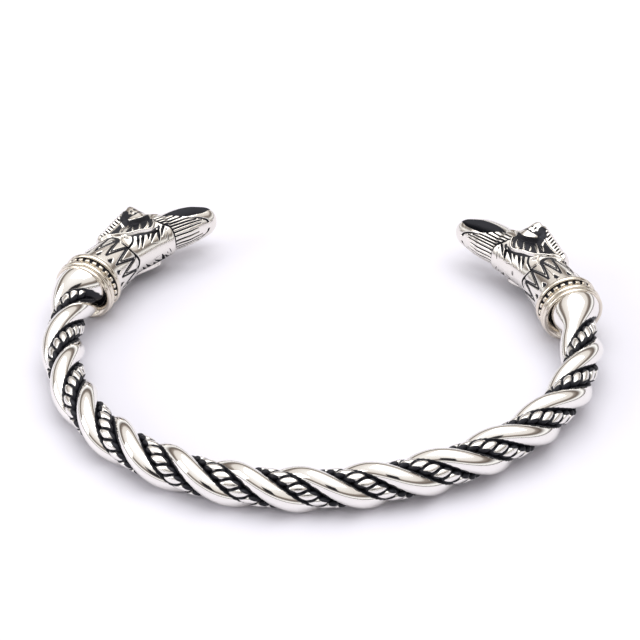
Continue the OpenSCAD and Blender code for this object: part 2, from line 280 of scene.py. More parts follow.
def plainMaterial(name, colour, roughness):
    material = bpy.data.materials.new(name)
    material.use_nodes = True
    shader = material.node_tree.nodes["Principled BSDF"]
    shader.inputs["Base Color"].default_value = srgb(colour)
    shader.inputs["Roughness"].default_value = roughness
    return material


def blacken(piece, amounts):
    layer = piece.data.attributes.get("oxideAndShade") or piece.data.attributes.new("oxideAndShade", "FLOAT", "POINT")
    layer.data.foreach_set("value", np.clip(amounts, 0, 1).astype(np.float32))


def readBlack(piece):
    amounts = np.empty(len(piece.data.vertices), np.float32)
    piece.data.attributes["oxideAndShade"].data.foreach_get("value", amounts)
    return amounts


def ramp(values, low, high):
    share = np.clip((values - low) / (high - low), 0, 1)
    return share * share * (3 - 2 * share)


strandSilver = blackenedAndShadedSilver("polishedSilverStrand", shine=0.1)
wireSilver = blackenedAndShadedSilver("blackenedSilverWire", shine=0.22)
ferruleSilver = blackenedAndShadedSilver("turnedSilver", polish="#e4dccf", shine=0.15)
castSilver = blackenedAndShadedSilver("castSilver", polish="#ece8e2", shine=0.17)
print("materials mixed")


def layPath(turnOff, lay, step):
    start = -rope["endInFerrule"]
    end = ropeLength + rope["endInFerrule"]
    count = round((end - start) / step)
    path = []
    for i in range(count + 1):
        s = start + (end - start) * i / count
        turn = ropeTwist(s) + turnOff
        path.append(Vector((s, -lay * math.cos(turn), lay * math.sin(turn))))
    return path


def angleFrom(points, middle):
    # Angle round the rope from a strand's middle, at most half a turn either way
    angle = np.arctan2(points[:, 2], -points[:, 1]) - middle
    return (angle + math.pi) % (2 * math.pi) - math.pi


# Smooth strands, polished
smooth = {
    "radius": 1.29,
    "lay": 1.5,
    "blackTo": 1.95,  # black up to this distance from the middle of the rope
    "brightFrom": 2.2,
    "step": 0.15,
    "roundness": 16,
    "flareOut": 5.0,  # the outer strand swells over this length before the ferrule
    "flareIn": 1.0,  # and thins again over this length in the cup
    "flareReach": 3.98,  # it fills the lip out to this distance
    "flareWide": 2.2,
    "flareTurn": 22,  # and turns inwards by this angle
}


def makeSmoothStrand(name, turnOff, flaredEnd):
    piece = tubeAlong(name, layPath(turnOff, smooth["lay"], smooth["step"]), smooth["radius"],
                      smooth["roundness"])
    points = readPoints(piece)
    reach = np.hypot(points[:, 1], points[:, 2])
    blacken(piece, 1 - ramp(reach, smooth["blackTo"], smooth["brightFrom"]))
    # Swell towards the lip: each point moves outwards and round the rope, away from the strand's middle
    lip = flaredEnd + (ferruleWidth / 2 if flaredEnd == 0 else -ferruleWidth / 2)
    away = np.abs(points[:, 0] - lip)
    inside = (points[:, 0] < lip) if flaredEnd == 0 else (points[:, 0] > lip)
    length = np.where(inside, smooth["flareIn"], smooth["flareOut"])
    share = ramp(1 - away / length, 0, 1)
    middle = np.array([ropeTwist(s) + turnOff for s in points[:, 0]])
    wider = angleFrom(points, middle) * (1 + (smooth["flareWide"] - 1) * share)
    turn = middle + wider + math.radians(smooth["flareTurn"]) * share
    grow = 1 + (smooth["flareReach"] / (smooth["lay"] + smooth["radius"]) - 1) * share
    points[:, 1] = -reach * grow * np.cos(turn)
    points[:, 2] = reach * grow * np.sin(turn)
    writePoints(piece, points)
    return piece


# Beaded wires: pairs of thin wires twisted the other way, whose worn humps are rubbed bright
beaded = {
    "radius": 0.5,
    "spreadOut": 0.34,  # each wire swings this far from the pair's middle, out and across
    "spreadAcross": 0.42,
    "lay": 1.68,  # from the middle of the rope to the pair's
    "humpsPerTurn": 15,
    "wornFrom": 2.3,  # distance from the middle of the rope beyond which they are worn down
    "wornKeep": 0.4,  # share of the height beyond it that is left
    "padLong": 1.12,  # half the diamond that is rubbed bright on each hump
    "padWide": 0.54,
    "blackFrom": 0.75,  # share of the half diamond at which the black begins
    "blackOver": 0.5,
    "roundness": 9,
    "step": 0.1,
}


def makeBeadedWire(name, turnOff):
    centre = layPath(turnOff, beaded["lay"], beaded["step"])
    plies = []
    for k in (0, 1):
        path = []
        for i, point in enumerate(centre):
            ahead = (centre[min(i + 1, len(centre) - 1)] - centre[max(i - 1, 0)]).normalized()
            out = Vector((0, point.y, point.z)).normalized()
            side = ahead.cross(out)
            roll = -math.pi * beaded["humpsPerTurn"] * point.x / rope["pitch"] + k * math.pi
            outward = beaded["spreadOut"] * math.cos(roll)
            across = beaded["spreadAcross"] * math.sin(roll)
            path.append(point + outward * out + across * side)
        plies.append(tubeAlong(name, path, beaded["radius"], beaded["roundness"]))
    plyPoints = len(plies[0].data.vertices)
    selectOnly(*plies)
    bpy.ops.object.join()
    piece = bpy.context.object
    points = readPoints(piece)
    reach = np.hypot(points[:, 1], points[:, 2])
    worn = np.where(reach > beaded["wornFrom"],
                    beaded["wornFrom"] + (reach - beaded["wornFrom"]) * beaded["wornKeep"], reach)
    # The humps of the two plies come in turn
    hump = rope["pitch"] / beaded["humpsPerTurn"]
    ply = (np.arange(len(points)) >= plyPoints).astype(int)
    along = points[:, 0] / hump
    nearest = 2 * np.rint((along - ply) / 2) + ply
    middle = np.array([ropeTwist(s) + turnOff for s in nearest * hump])
    lengthwise = np.abs(along - nearest) * hump / beaded["padLong"]
    crosswise = np.abs(angleFrom(points, middle)) * reach / beaded["padWide"]
    blacken(piece, (lengthwise + crosswise - beaded["blackFrom"]) / beaded["blackOver"])
    points[:, 1:] *= (worn / reach)[:, None]
    writePoints(piece, points)
    return piece


def layRope(piece):
    start = -hoop["ferruleTurn"] - rope["lead"]
    points = readPoints(piece)
    points[:, 0] += arcLength(start, -hoop["ferruleTurn"])
    writePoints(piece, points)
    bendOnHoop(piece, start, -start)
    layAtRest(piece)


pieces = {}
for name, turnOff, flaredEnd in (("smooth_strand_one", 0, ropeLength), ("smooth_strand_two", math.pi, 0)):
    piece = makeSmoothStrand(name.title().replace("_", ""), turnOff, flaredEnd)
    piece.data.materials.append(strandSilver)
    pieces[name] = piece
for name, turnOff in (("beaded_wire_one", math.pi / 2), ("beaded_wire_two", -math.pi / 2)):
    piece = makeBeadedWire(name.title().replace("_", ""), turnOff)
    piece.data.materials.append(wireSilver)
    pieces[name] = piece
for piece in pieces.values():
    layRope(piece)
    selectOnly(piece)
    bpy.ops.object.shade_smooth()
print("rope laid")

# Ferrules, turned on a lathe, with beads soldered into the sunk band. Radii, and lengths from the lip.
ferrule = {
    "lipRadius": 3.86,
    "cupDepth": 1.5,
    "cupFloor": 2.6,
    "cupCurve": 1.6,
    "cupSteps": 6,
    "rings": [(0.0, 0.62, 4.12), (0.66, 1.3, 4.2)],  # from, to, radius
    "ringBase": 4.0,
    "bandTo": 2.44,
    "bandRadius": 3.62,
    "bandCorner": 0.06,
    "lastLower": 0.04,  # the last ring is this much lower, and the band as far behind the others
    "endInset": 0.5,
    "steps": 144,
    "beads": 24,
    "beadSize": (0.46, 0.64, 0.5),  # along, out and across
    "beadReach": 3.82,
    "beadCorner": 0.15,
    "bandBlack": (3.8, 4.1),  # black up to the first radius, bright from the second
    "cupBlack": (2.7, 3.3),
    "cupEnd": 0.6,  # from the ferrule's middle
    "outside": 3.9,  # its outer side lies beyond this radius
    "seamBlack": 0.75,
    "seamWidth": 0.05,
    "smoothTo": 40,  # degrees between faces
}


def halfRound(start, end, base, top, count=7):
    middle = (start + end) / 2
    half = (end - start) / 2
    turns = [math.pi * i / count for i in range(count + 1)]
    return [(middle - half * math.cos(turn), base + (top - base) * math.sin(turn)) for turn in turns]


def ferruleProfile(lip, bandFrom, bandTo):
    floorAt = lip + ferrule["cupDepth"]
    profile = [(floorAt, 0.0), (floorAt, ferrule["cupFloor"] - ferrule["endInset"])]
    for i in range(ferrule["cupSteps"] + 1):
        share = i / ferrule["cupSteps"]
        profile.append((lip + ferrule["cupDepth"] * (1 - share) ** ferrule["cupCurve"],
                        ferrule["cupFloor"] + (ferrule["lipRadius"] - ferrule["cupFloor"]) * share))
    for start, end, radius in ferrule["rings"]:
        profile += halfRound(lip + start, lip + end, ferrule["ringBase"], radius)
    corner = ferrule["bandCorner"]
    profile += [(bandFrom, ferrule["bandRadius"] + corner), (bandFrom + corner, ferrule["bandRadius"]),
                (bandTo - corner, ferrule["bandRadius"]), (bandTo, ferrule["bandRadius"] + corner)]
    lower = ferrule["lastLower"]
    profile += halfRound(bandTo, -lip, ferrule["ringBase"] - lower, ferrule["rings"][1][2] - lower)
    return profile + [(-lip, ferrule["ringBase"] - ferrule["endInset"]), (-lip, 0.0)]


def blackenFerrule(piece, lip, bandFrom, bandTo):
    points = readPoints(piece)
    along = points[:, 0]
    reach = np.hypot(points[:, 1], points[:, 2])
    room = 0.02
    band = (along > bandFrom - room) & (along < bandTo + room)
    cup = (along < ferrule["cupEnd"]) & (reach < ferrule["outside"])
    dark = np.where(band, 1 - ramp(reach, *ferrule["bandBlack"]), 0)
    dark = np.where(cup, 1 - ramp(reach, *ferrule["cupBlack"]), dark)
    for _, end, _ in ferrule["rings"]:
        seam = ferrule["seamBlack"] * (1 - ramp(np.abs(along - lip - end), 0.0, ferrule["seamWidth"]))
        dark = np.maximum(dark, seam * (reach > ferrule["outside"]))
    blacken(piece, dark)


def makeFerrule(name):
    lip = -ferruleWidth / 2
    bandFrom = lip + ferrule["rings"][1][1] + ferrule["lastLower"]
    bandTo = lip + ferrule["bandTo"]
    piece = toMesh(addLine(name, [(x, 0, r) for x, r in ferruleProfile(lip, bandFrom, bandTo)]))
    bpy.ops.object.mode_set(mode="EDIT")
    bpy.ops.mesh.select_all(action="SELECT")
    bpy.ops.mesh.spin(steps=ferrule["steps"], angle=2 * math.pi, center=(0, 0, 0), axis=(1, 0, 0))
    weld(piece, gap=0.0005)
    blackenFerrule(piece, lip, bandFrom, bandTo)
    beads = []
    for i in range(ferrule["beads"]):
        turn = 2 * math.pi * i / ferrule["beads"]
        place = (0.5 * (bandFrom + bandTo), ferrule["beadReach"] * math.cos(turn),
                 ferrule["beadReach"] * math.sin(turn))
        bpy.ops.mesh.primitive_cube_add(size=1, location=place, rotation=(turn, 0, 0))
        bead = bpy.context.object
        bead.scale = (ferrule["beadSize"][0], ferrule["beadSize"][2], ferrule["beadSize"][1])
        bpy.ops.object.transform_apply(location=True, rotation=True, scale=True)
        applyModifier(bead, "BEVEL", width=ferrule["beadCorner"], segments=3)
        blacken(bead, np.zeros(len(bead.data.vertices)))
        beads.append(bead)
    selectOnly(piece, *beads)
    bpy.ops.object.join()
    return piece


def standOnHoop(piece):
    # A straight piece stands on the middle of the right ferrule
    turn = Matrix.Rotation(math.atan2(ferruleAhead.y, ferruleAhead.x), 4, "Z")
    piece.data.transform(Matrix.Translation(ovalPoint(hoop["ferruleTurn"])) @ turn)


right = makeFerrule("RightFerrule")
right.data.materials.append(ferruleSilver)
standOnHoop(right)
layAtRest(right)
selectOnly(right)
bpy.ops.object.shade_smooth_by_angle(angle=math.radians(ferrule["smoothTo"]))
pieces["right_ferrule"] = right
pieces["left_ferrule"] = copyPiece(right, "LeftFerrule")
mirrorLeft(pieces["left_ferrule"])
print("ferrules turned")

# Heads, cast and chased. A station is a length along the hoop from the ferrule's middle, a turn
# an angle from the crown, and both sides are alike.
head = {
    "foot": 1.5,
    "blunt": 21.2,  # from here the beak rounds off
    "tip": 22.6,
    "rows": 330,
    "rowsAt": [(0, 1.5), (66, 6.0), (232, 15.3), (306, 21.2)],  # closest over the ear
    "tipRows": 24,
    "tipCurve": 0.8,
    "columns": 288,
    "columnsAt": [(0, 0), (10, 20), (26, 42), (74, 88), (122, 150), (144, 180)],
    "turnLength": 0.05,  # length of a degree of turn on the surface
    "roll": {"right": 0, "left": 12},
    "mouthReach": 4,  # the mouth is cut this far to each side
    "mouthBlack": 0.03,  # and is black up to this distance from its outline
}
# Station, then reach of the crown, side and jaw
bodySections = [
    (1.5, 3.62, 3.62, 3.62), (2.4, 3.6, 3.6, 3.6), (5, 3.4, 3.4, 3.4), (7.0, 3.18, 3.18, 3.18),
    (7.5, 3.0, 3.0, 3.0), (9, 2.92, 2.97, 2.98), (12, 3.0, 3.02, 2.94), (14.0, 3.36, 2.92, 2.84),
    (14.8, 3.44, 2.84, 2.78), (15.3, 3.46, 2.64, 2.28), (17.5, 3.46, 2.62, 2.25), (18.5, 3.34, 2.57, 2.05),
    (19.5, 3.05, 2.44, 1.83), (20.5, 2.6, 2.17, 1.54), (21.5, 2.1, 1.88, 1.26), (22.6, 1.7, 1.6, 1.1),
]
# Station, turn and height of the ridge that runs from the ear's back tip up to the brow and down
ridge = [
    (6.0, 52, 0.35), (6.8, 52, 0.5), (8.0, 51, 0.68), (9.2, 50, 0.95), (10.2, 49, 1.25), (10.8, 48, 1.7),
    (11.4, 47, 2.15), (11.9, 47, 2.48), (12.3, 48, 2.62), (12.7, 50, 2.3), (13.1, 53, 1.45),
    (13.6, 57, 0.65), (14.5, 60, 0.2), (15.5, 62, 0.0),
]
# Station and height of the fin of the mane, which stands behind the ridge
fin = [
    (6.0, 0.5), (7.0, 1.1), (8.0, 1.45), (9.0, 1.8), (10.0, 2.1), (11.0, 2.4), (11.7, 2.6), (12.2, 2.2),
    (12.8, 1.0), (13.4, 0.3), (14.5, 0.0),
]
# Station, turn and height of the lower edge of the petal below the brow
petal = [
    (6.0, 54, 0.35), (9.0, 53, 0.8), (10.4, 53, 1.2), (10.9, 57, 1.0), (11.2, 68, 0.85), (11.6, 77, 0.8),
    (12.1, 81, 0.78), (12.6, 80, 0.75), (13.3, 75, 0.62), (14.0, 69, 0.4), (14.8, 64, 0.15),
    (15.5, 62, 0.0),
]
# Station and turn of the ear's lower rim
rim = [
    (6.5, 56), (7.0, 64), (7.3, 75), (7.7, 84), (8.1, 92), (8.5, 100), (9.2, 106), (10.3, 112), (11.2, 119),
    (12.0, 121), (12.6, 115), (13.0, 104), (13.2, 96),
]
rimWidth = 0.42
rimHeight = 0.5
# Station and distance outward of the open mouth
mouth = [
    (14.9, 0.3), (15.4, 0.62), (16.2, 0.92), (17.2, 1.05), (18.9, 1.0), (20.3, 0.86), (21.2, 0.7),
    (21.8, 0.46), (21.95, 0.22), (21.75, -0.1), (21.3, -0.45), (20.7, -0.75), (19.8, -1.0),
    (18.8, -1.14), (18.0, -1.18), (17.1, -0.92), (16.4, -0.45), (15.6, 0.12),
]
# The ear's face between its ridge and rim, and the mane behind: pairs are where a change begins and ends
ear = {
    "from": (6.0, 6.4),
    "to": (15.0, 15.5),
    "curve": 1.5,
    "petalEdge": 5,  # degrees over which the petal falls to the hollow
    "rimEdge": 2,
    "blackLead": 0.3,  # the black begins this much above the petal's edge
    "blackEdge": 1.5,
    "hollowTo": (13.2, 13.6),
    "hollowDepth": 0.16,
    "maneFrom": (5.8, 6.4),
    "maneEdge": 6,  # degrees over which the ridge falls to the fin
    "maneSlope": (2, 36),  # turns between which the fin rises from the crown
    "maneCurve": 0.8,
}
# Gaps that part the teeth of the mane
teeth = {
    "gaps": 10,
    "first": 6.95,
    "spacing": 0.48,
    "width": (0.06, 0.16),
    "foot": (14, 20),
    "top": (3.2, 1.8),  # degrees short of the ridge
    "depth": 0.42,
    "black": 1.5,
}
# Zigzag round the neck, with a three-cornered pit between its feet
zigzag = {
    "pitch": 30,
    "lines": [(3.1, 6.75, 0.22, 0.2), (4.2, 7.6, 0.13, 0.14)],  # stations of feet and peaks, width, depth
    "pit": (2.6, 3.5, 0.5, 0.25),  # from, to, width, depth
    "earFrom": 6.1,  # the ear covers it from this station and up to this turn
    "earTurn": 57,
}
# Below the ear the neck stands a little higher, up to the edge of the nape
nape = {
    "height": 0.12,
    "edge": (6.8, 7.0),
    "fromTurn": 108,
}
# Station and turn of the front edge of the cheek
cheekEdge = [
    (13.2, 92), (13.5, 102), (13.9, 114), (14.35, 125), (14.85, 134), (15.05, 145), (15.1, 160), (15.1, 180),
]
# Strokes of the graver, two of them painted shadows: path of stations and turns, width, depth, and share of
# the width at the two ends
strokes = [
    # lip of the lower jaw
    ([(21.0, 160), (20.8, 145), (20.2, 136), (19.4, 130), (18.7, 128), (18.3, 126)], 0.34, 0.25, (1, 0.3)),
    # front edge of the cheek
    (cheekEdge, 0.36, 0.3, (0.5, 1)),
    # slits in the front lock of the cheek
    ([(14.15, 135), (14.05, 140)], 0.2, 0.1, (0.6, 0.3)),
    ([(14.05, 149), (13.9, 158), (13.65, 168)], 0.17, 0.1, (0.5, 0.3)),
    ([(13.45, 151), (13.25, 160)], 0.15, 0.1, (0.5, 0.3)),
    # gaps between the locks
    ([(13.95, 127), (13.45, 136), (12.95, 150)], 0.4, 0.3, (1, 0.3)),
    ([(13.3, 122), (12.95, 131)], 0.42, 0.3, (1, 0.6)),
    ([(12.8, 134), (12.6, 145), (12.3, 160)], 0.5, 0.35, (1, 0.15)),
    ([(12.5, 130), (11.75, 138), (10.9, 153)], 0.42, 0.3, (1, 0.15)),
    ([(11.5, 124), (10.75, 143)], 0.4, 0.3, (1, 0.15)),
    ([(10.65, 121), (9.95, 136), (9.2, 154)], 0.46, 0.35, (1, 0.15)),
    ([(9.9, 116), (9.3, 131), (8.55, 150)], 0.46, 0.35, (1, 0.15)),
    ([(9.1, 112), (8.5, 126), (7.7, 133), (7.1, 136)], 0.34, 0.3, (1, 0.8)),
    # painted shadow under the rim of the ear, a blackened cut
    ([(12.9, 123), (11.9, 128), (11.0, 125), (10.1, 119), (9.2, 112), (8.7, 105)], 0.5, 0.35, (0.4, 0.7)),
    # painted shadow under the back branch of the rim, a blackened cut
    ([(6.5, 62), (6.8, 76), (7.1, 89), (6.95, 99), (6.7, 108)], 0.75, 0.3, (0.5, 0.8)),
    # fine line over the cheek
    ([(12.0, 162), (11.2, 158), (10.4, 155)], 0.1, 0.05, (0.4, 0.3)),
    # edge of the nape
    ([(6.75, 112), (6.85, 124), (6.95, 133), (7.3, 150), (7.75, 168), (7.9, 180)], 0.34, 0.28, (1, 1)),
]
# Furrows along the jaw: station of the front end, turn there, turn at the cheek
furrows = [
    (19.2, 171, 171), (19.8, 153, 157), (20.0, 141, 144), (19.2, 134, 133), (18.2, 125, 123),
    (17.2, 114, 113), (16.4, 102, 103), (15.8, 89, 92),
]
furrowWidth = 0.31
furrowDepth = 0.24
furrowSag = 1  # degrees
# Raised branches of the ear's rim, then its ribs: path, width, height
branches = [
    ([(8.1, 92), (8.8, 86), (9.5, 79), (10.2, 72)], 0.34, 0.42),
    ([(8.8, 68), (9.4, 62), (10.0, 56)], 0.26, 0.4),
    ([(8.1, 92), (7.8, 101), (7.3, 108), (6.8, 114)], 0.4, 0.3),
    ([(8.1, 92), (8.0, 102), (8.25, 110)], 0.4, 0.35),
    ([(12.45, 92), (12.3, 99), (11.9, 107), (11.4, 112)], 0.42, 0.34),
    ([(11.55, 86), (11.1, 96), (10.6, 106)], 0.32, 0.34),
    ([(10.45, 84), (10.1, 91), (9.8, 98)], 0.26, 0.3),
]
# The brow: its back and the band below its cap are painted black as shade, with two beads and two dark dots
# there
brow = {
    "back": [(13.1, 65), (12.6, 66), (12.0, 65.5), (11.6, 62), (11.25, 57)],
    "backWidth": 0.26,
    "bands": [([(11.45, 49.5), (10.95, 51), (10.5, 52)], 0.6), ([(11.3, 54), (10.85, 54.5)], 0.46)],
    "beads": [(12.3, 63, 0.3, 1.486), (11.86, 61, 0.34, 1.75)],  # station, turn, width, height
    "beadSpan": (-0.04, 0.1),
    "dots": [(12.35, 58.5), (11.9, 57)],
    "dotLength": 0.06,
    "dotWidth": 0.24,
    "dotDepth": 0.08,
}
# Dent in the jowl of the right head: station, half lengths along and across, depth and blackness
dent = {
    "station": 10.3,
    "along": 0.36,
    "across": 0.6,
    "depth": 0.12,
    "black": 0.55,
}


def smoothLine(knots, closed=False, steps=10):
    knots = np.array(knots, float)
    if closed:
        knots = np.vstack([knots[-1:], knots, knots[:2]])
    else:
        knots = np.vstack([2 * knots[0] - knots[1], knots, 2 * knots[-1] - knots[-2]])
    line = []
    for a, b, c, d in zip(knots, knots[1:], knots[2:], knots[3:]):
        for t in np.arange(steps) / steps:
            line.append(b + 0.5 * t * (c - a + t * (2 * a - 5 * b + 4 * c - d + t * (3 * (b - c) + d - a))))
    if not closed:
        line.append(knots[-2])
    return np.array(line)


def smoothValue(x, knots, column=1):
    line = smoothLine(knots)
    return np.interp(x, line[:, 0], line[:, column])


def gapTo(points, a, b):
    # Distances from points to the straight stretch from a to b, and the shares along it
    share = np.clip((points - a) @ (b - a) / max(np.hypot(*(b - a)), 1e-9) ** 2, 0, 1)
    return np.hypot(*(points - a - share[:, None] * (b - a)).T), share


# Cuts and raised lines begin this far outside their edge. A cut is full at the wall's width inside it.
cutLead = 0.04
raiseLead = 0.03
wallWidth = 0.12


class Relief:
    # Heights and blackening on the unrolled surface of a head
    def __init__(self, station, turn):
        self.station = station
        self.turn = turn
        self.height = np.zeros(len(station))
        self.black = np.zeros(len(station))

    def distance(self, path, room):
        # Distance to a path and the share along it, for the points near it
        line = np.array(path, float) * (1, head["turnLength"])
        x, y = self.station, self.turn * head["turnLength"]
        near = np.flatnonzero((x > line[:, 0].min() - room) & (x < line[:, 0].max() + room)
                              & (y > line[:, 1].min() - room) & (y < line[:, 1].max() + room))
        points = np.stack([x[near], y[near]], 1)
        lengths = np.hypot(*np.diff(line, axis=0).T)
        starts = np.concatenate([[0], np.cumsum(lengths)])
        best = np.full(len(near), np.inf)
        share = np.zeros(len(near))
        for a, b, length, start in zip(line, line[1:], lengths, starts):
            gap, t = gapTo(points, a, b)
            closer = gap < best
            best[closer] = gap[closer]
            share[closer] = (start + t[closer] * length) / starts[-1]
        return near, best, share

    def cut(self, path, width, depth, ends=(1, 1), fat=0.5):
        near, gap, share = self.distance(path, width)
        inside = width / 2 * np.interp(share, (0, fat, 1), (ends[0], 1, ends[1])) - gap
        self.height[near] -= depth * ramp(inside, -cutLead, wallWidth)
        self.black[near] = np.maximum(self.black[near], np.clip(0.5 + inside / wallWidth, 0, 1))

    def raiseLine(self, path, width, height, ends=(1, 1)):
        near, gap, share = self.distance(path, width)
        half = width / 2 * np.interp(share, (0, 0.5, 1), (ends[0], 1, ends[1]))
        swell = ramp(half - gap, -raiseLead, width / 2)
        self.height[near] = np.maximum(self.height[near], height * swell)
        self.black[near] *= 1 - np.clip(0.5 + (half - gap) / wallWidth, 0, 1)


def bodyReach(station, turn):
    t = np.radians(turn)
    crown, side, jaw = (smoothValue(station, bodySections, k) for k in (1, 2, 3))
    end = np.where(np.cos(t) > 0, crown, jaw)
    return 1 / np.sqrt((np.cos(t) / end) ** 2 + (np.sin(t) / side) ** 2)


def chaseNeck(relief):
    pitch = zigzag["pitch"]
    start, end, pitWidth, pitDepth = zigzag["pit"]
    for foot in range(-pitch, 180 + pitch, pitch):
        peak = foot + pitch / 2
        for feetAt, peaksAt, width, depth in zigzag["lines"]:
            relief.cut([(feetAt, foot), (peaksAt, peak), (feetAt, foot + pitch)], width, depth)
        relief.cut([(start, peak), (end, peak)], pitWidth, pitDepth, ends=(0.9, 0), fat=0.05)
    behindEdge = (1 - ramp(relief.station, *nape["edge"])) * (relief.turn > nape["fromTurn"])
    relief.height += nape["height"] * behindEdge
    atEar = (relief.station > zigzag["earFrom"]) & (relief.turn < zigzag["earTurn"])
    relief.height[atEar] = 0
    relief.black[atEar] = 0


def shapeEar(relief):
    s, turn = relief.station, relief.turn
    ridgeTurn, ridgeHeight = smoothValue(s, ridge, 1), np.maximum(smoothValue(s, ridge, 2), 0)
    petalTurn, petalHeight = smoothValue(s, petal, 1), np.maximum(smoothValue(s, petal, 2), 0)
    rimTurn = np.interp(s, *smoothLine(rim).T)
    inEar = ramp(s, *ear["from"]) * (1 - ramp(s, *ear["to"]))
    front = turn > ridgeTurn
    # From the ridge down to the petal's edge, then a dark hollow as far as the rim
    down = np.clip((turn - ridgeTurn) / np.maximum(petalTurn - ridgeTurn, 0.5), 0, 1)
    face = petalHeight + (ridgeHeight - petalHeight) * (1 - down) ** ear["curve"]
    hollow = ramp(turn, petalTurn, petalTurn + ear["petalEdge"])
    relief.height += np.where(front, face * (1 - hollow), 0) * inEar
    aboveRim = 1 - ramp(turn, rimTurn - ear["rimEdge"], rimTurn)
    inHollow = inEar * (1 - ramp(s, *ear["hollowTo"]))
    relief.height -= ear["hollowDepth"] * np.where(front, hollow * aboveRim, 0) * inHollow
    edge = np.clip((turn - petalTurn + ear["blackLead"]) / ear["blackEdge"], 0, 1)
    relief.black = np.maximum(relief.black, np.where(front, edge * aboveRim, 0) * inHollow)
    # Behind the ridge stands the fin of the mane, which falls to the crown
    step = 1 - ramp(turn, ridgeTurn - ear["maneEdge"], ridgeTurn)
    behind = np.maximum(smoothValue(s, fin), 0) * step + ridgeHeight * (1 - step)
    behind *= ramp(turn, *ear["maneSlope"]) ** ear["maneCurve"]
    relief.height += np.where(front, 0, behind) * ramp(s, *ear["maneFrom"])
    long = (1 - ramp(turn, *(ridgeTurn - short for short in teeth["top"]))) * ramp(turn, *teeth["foot"])
    for k in range(teeth["gaps"]):
        middle = teeth["first"] + teeth["spacing"] * k
        gap = (1 - ramp(np.abs(s - middle), *teeth["width"])) * long
        relief.height -= teeth["depth"] * gap
        relief.black = np.maximum(relief.black, np.clip(teeth["black"] * gap, 0, 1))


def chase(relief):
    for path, width, depth, ends in strokes:
        relief.cut(smoothLine(path), width, depth, ends)
    edge = smoothLine(cheekEdge)
    for start, frontTurn, backTurn in furrows:
        end = float(np.interp(backTurn, edge[:, 1], edge[:, 0]))
        middle = ((start + end) / 2, 0.5 * (frontTurn + backTurn) + furrowSag)
        path = [(start, frontTurn), middle, (end, backTurn)]
        relief.cut(path, furrowWidth, furrowDepth, ends=(0.75, 1.0))
    relief.raiseLine(smoothLine(rim), rimWidth, rimHeight)
    for path, width, height in branches:
        relief.raiseLine(smoothLine(path), width, height, ends=(0.5, 1))
    # The brow's back and the bands below its cap are cuts of no depth, which only paint shade black
    relief.cut(smoothLine(brow["back"]), brow["backWidth"], 0.0, ends=(0.5, 1.4))
    for path, width in brow["bands"]:
        relief.cut(path, width, 0.0)
    for s, turn, width, height in brow["beads"]:
        relief.raiseLine([(s + end, turn) for end in brow["beadSpan"]], width, height)
    for s, turn in brow["dots"]:
        relief.cut([(s, turn), (s + brow["dotLength"], turn)], brow["dotWidth"], brow["dotDepth"])


def makeHead(name):
    bpy.ops.mesh.primitive_grid_add(x_subdivisions=head["rows"], y_subdivisions=head["columns"], size=2)
    piece = bpy.context.object
    piece.name = name
    points = readPoints(piece)
    row = np.rint((points[:, 0] + 1) / 2 * head["rows"]).astype(int)
    column = np.rint((points[:, 1] + 1) / 2 * head["columns"]).astype(int)
    turn = np.interp(np.minimum(column, head["columns"] - column), *np.array(head["columnsAt"], float).T)
    around = np.where(column > head["columns"] / 2, 360 - turn, turn)
    # Stations of the rows: one in the middle of the foot, then along the head and round its tip
    along = np.interp(np.arange(head["rows"] - head["tipRows"]), *np.array(head["rowsAt"], float).T)
    bow = np.linspace(0, math.pi / 2, head["tipRows"] + 1)[1:]
    tip = head["blunt"] + (head["tip"] - head["blunt"]) * np.sin(bow)
    station = np.concatenate([[head["foot"]], along, tip])[row]
    shares = np.concatenate([[0], np.ones(len(along)), np.cos(bow) ** head["tipCurve"]])
    relief = Relief(station, turn)
    chaseNeck(relief)
    shapeEar(relief)
    chase(relief)
    reach = (bodyReach(station, turn) + relief.height) * shares[row]
    points[:, 0] = station
    points[:, 1] = -reach * np.cos(np.radians(around))
    points[:, 2] = reach * np.sin(np.radians(around))
    writePoints(piece, points)
    blacken(piece, relief.black)
    weld(piece, gap=0.0005)
    return piece


def cutMouth(piece):
    loop = smoothLine(mouth, closed=True)
    line = addLine("mouth", [(s, -u, 0) for s, u in loop], closed=True)
    line.data.dimensions = "2D"
    line.data.fill_mode = "BOTH"
    line.data.extrude = head["mouthReach"]
    cutter = toMesh(line)
    weld(cutter, gap=0.0001)
    applyModifier(piece, "BOOLEAN", operation="DIFFERENCE", solver="EXACT", object=cutter)
    bpy.data.objects.remove(cutter)
    points = readPoints(piece)[:, :2] * (1, -1)
    fromLoop = np.full(len(points), np.inf)
    for a, b in zip(loop, np.roll(loop, -1, 0)):
        fromLoop = np.minimum(fromLoop, gapTo(points, a, b)[0])
    blacken(piece, np.where(fromLoop < head["mouthBlack"], 1, readBlack(piece)))


def dentJowl(piece):
    points = readPoints(piece)
    across = np.degrees(np.arctan2(points[:, 2], points[:, 1])) * head["turnLength"]
    away = np.hypot((points[:, 0] - dent["station"]) / dent["along"], across / dent["across"])
    share = np.where(points[:, 1] > 0, ramp(1 - away, 0, 0.5), 0)
    blacken(piece, np.maximum(readBlack(piece), dent["black"] * share))
    points[:, 1] -= dent["depth"] * share
    writePoints(piece, points)


right = makeHead("RightHead")
print("head cast")
cutMouth(right)
print("mouth cut")
right.data.materials.clear()
right.data.materials.append(castSilver)
left = copyPiece(right, "LeftHead")
dentJowl(right)
for side, piece in (("right", right), ("left", left)):
    piece.data.transform(Matrix.Rotation(math.radians(head["roll"][side]), 4, "X"))
    bendOnHoop(piece, hoop["ferruleTurn"], hoop["headTurn"])
    if side == "left":
        mirrorLeft(piece)
    layAtRest(piece)
    selectOnly(piece)
    bpy.ops.object.shade_smooth()
    pieces[side + "_head"] = piece
print("heads bent")

for name, piece in pieces.items():
    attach(piece, "root")
    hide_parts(name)
    piece.data.calc_loop_triangles()
    print(name, len(piece.data.loop_triangles), "triangles")

